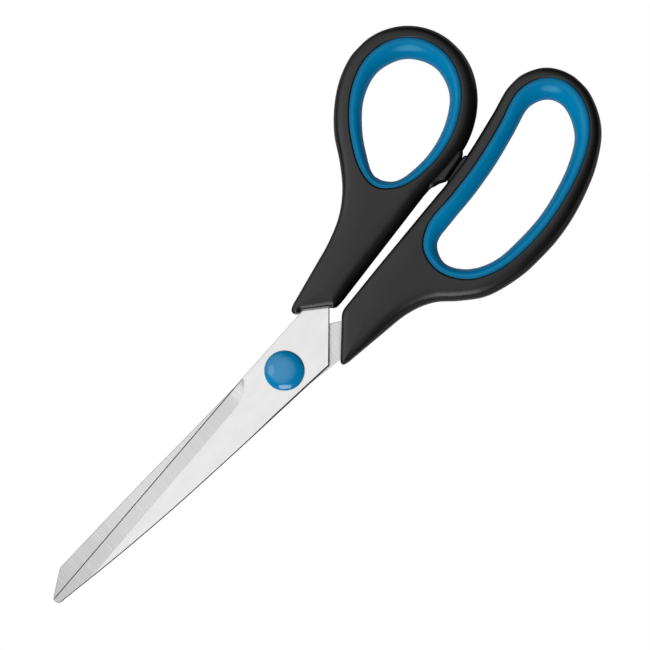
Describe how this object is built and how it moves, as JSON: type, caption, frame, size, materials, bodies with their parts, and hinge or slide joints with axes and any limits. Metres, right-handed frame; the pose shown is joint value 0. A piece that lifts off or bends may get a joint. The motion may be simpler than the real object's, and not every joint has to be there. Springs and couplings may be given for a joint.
{
  "type": "office scissors",
  "caption": "Office scissors with riveted steel blades and black plastic handles with blue soft-lined loops, the blades turning on one pivot.",
  "frame": {"origin": "centre of the rivet's rear face, on the pivot axis", "axes": "+X along the closed blades from the pivot to the tips, +Y towards the finger loop, +Z along the pivot axis towards the front"},
  "size_m": [0.2097, 0.0789, 0.0105],
  "materials": {
    "blade_steel": "satin ground stainless steel",
    "black_plastic": "fine matt moulded polypropylene",
    "blue_soft_grip": "satin thermoplastic rubber",
    "rivet_steel": "plain formed steel",
    "blue_plastic": "glossy moulded plastic"
  },
  "bodies": {
    "finger_half": {"rear_blade": "blade_steel", "finger_handle": "black_plastic", "finger_grip": "blue_soft_grip", "pivot_rivet": "rivet_steel", "pivot_washer": "rivet_steel", "pivot_cap": "blue_plastic"},
    "thumb_half": {"front_blade": "blade_steel", "thumb_handle": "black_plastic", "thumb_grip": "blue_soft_grip"}
  },
  "joints": [
    {"name": "blade_pivot", "type": "hinge", "parent": "finger_half", "child": "thumb_half", "pos_m": [0, 0, 0], "axis": [0, 0, 1], "range_deg": [0, 114]}
  ]
}
